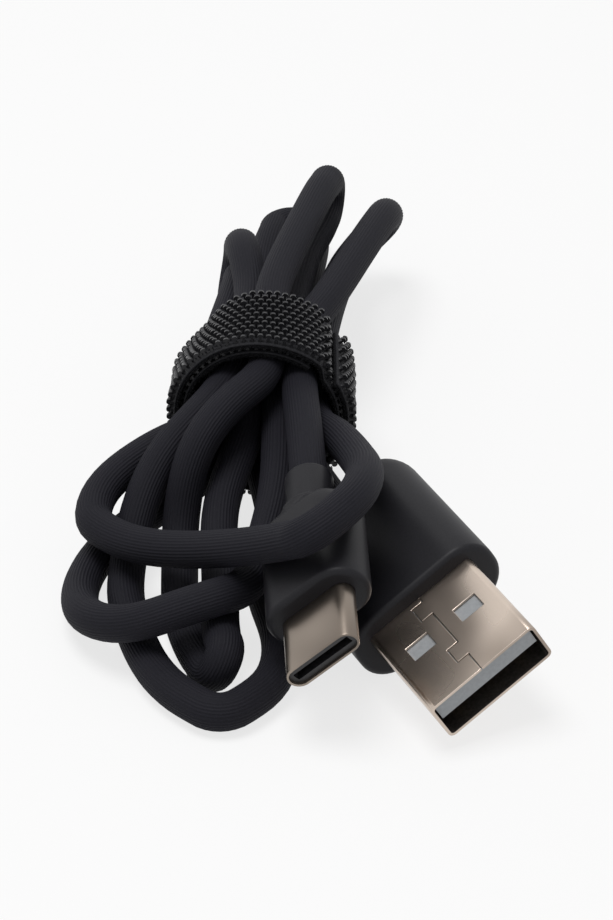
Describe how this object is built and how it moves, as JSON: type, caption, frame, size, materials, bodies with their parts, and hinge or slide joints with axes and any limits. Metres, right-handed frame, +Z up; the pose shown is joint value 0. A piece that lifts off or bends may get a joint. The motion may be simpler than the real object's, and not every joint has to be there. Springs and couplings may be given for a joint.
{
  "type": "charging cable",
  "caption": "Charging cable with a USB-A plug and a USB-C plug, folded in loops and held at its middle by a hook-and-loop strap",
  "frame": {"origin": "On the surface that the cable lies on, under the centre of its bounding box", "axes": "+Z up, -Y towards both plugs, +Y towards the folds behind the strap, +X to the side where the USB-A plug lies"},
  "size_m": [0.0456, 0.095, 0.0204],
  "materials": {
    "cord_jacket": "matt jacket with fine lengthwise ribs",
    "loop_pile": "brushed nylon loops",
    "strap_backing": "woven nylon tape",
    "hooks": "moulded nylon hooks",
    "plug_shell": "nickel plated, warm satin",
    "white_insulator": "smooth moulded",
    "contacts": "gold plated",
    "shield_steel": "tin plated sheet",
    "wire_insulation": "coloured wire insulation",
    "inner_mould": "low-pressure moulding",
    "grip": "smooth matt moulding",
    "black_housing": "smooth moulded",
    "circuit_board": "solder mask",
    "resistor_body": "ceramic chip"
  },
  "bodies": {
    "cable": {"cord_hank": "cord_jacket", "usb_a_lead": "cord_jacket", "usb_c_lead": "cord_jacket", "tie_pile": "loop_pile", "tie_backing": "strap_backing", "tie_hooks": "hooks", "usb_c_shell": "plug_shell", "usb_c_housing": "black_housing", "usb_c_upper_contacts": "contacts", "usb_c_lower_contacts": "contacts", "usb_c_latch_plate": "shield_steel", "usb_c_ground_springs": "shield_steel", "usb_c_board": "circuit_board", "usb_c_resistor": "resistor_body", "usb_c_rear_shield": "shield_steel", "usb_c_wires": "wire_insulation", "usb_c_inner_mould": "inner_mould", "usb_c_grip": "grip"},
    "usb_a_plug": {"usb_a_shell": "plug_shell", "usb_a_insulator": "white_insulator", "usb_a_contacts": "contacts", "usb_a_rear_shield": "shield_steel", "usb_a_wires": "wire_insulation", "usb_a_inner_mould": "inner_mould", "usb_a_grip": "grip"},
    "strap_tail": {"tail_pile": "loop_pile", "tail_backing": "strap_backing", "tail_hooks": "hooks"}
  },
  "joints": [
    {"name": "usb_a_swing", "type": "hinge", "parent": "cable", "child": "usb_a_plug", "pos_m": [0.00001, -0.00628, 0.0058], "axis": [0, 0, 1], "range_deg": [0, 30], "deforming": ["usb_a_lead"]},
    {"name": "tail_peel", "type": "hinge", "parent": "cable", "child": "strap_tail", "pos_m": [0.0024, -0.00073, 0.00225], "axis": [0, 1, 0], "range_deg": [0, 60]}
  ]
}
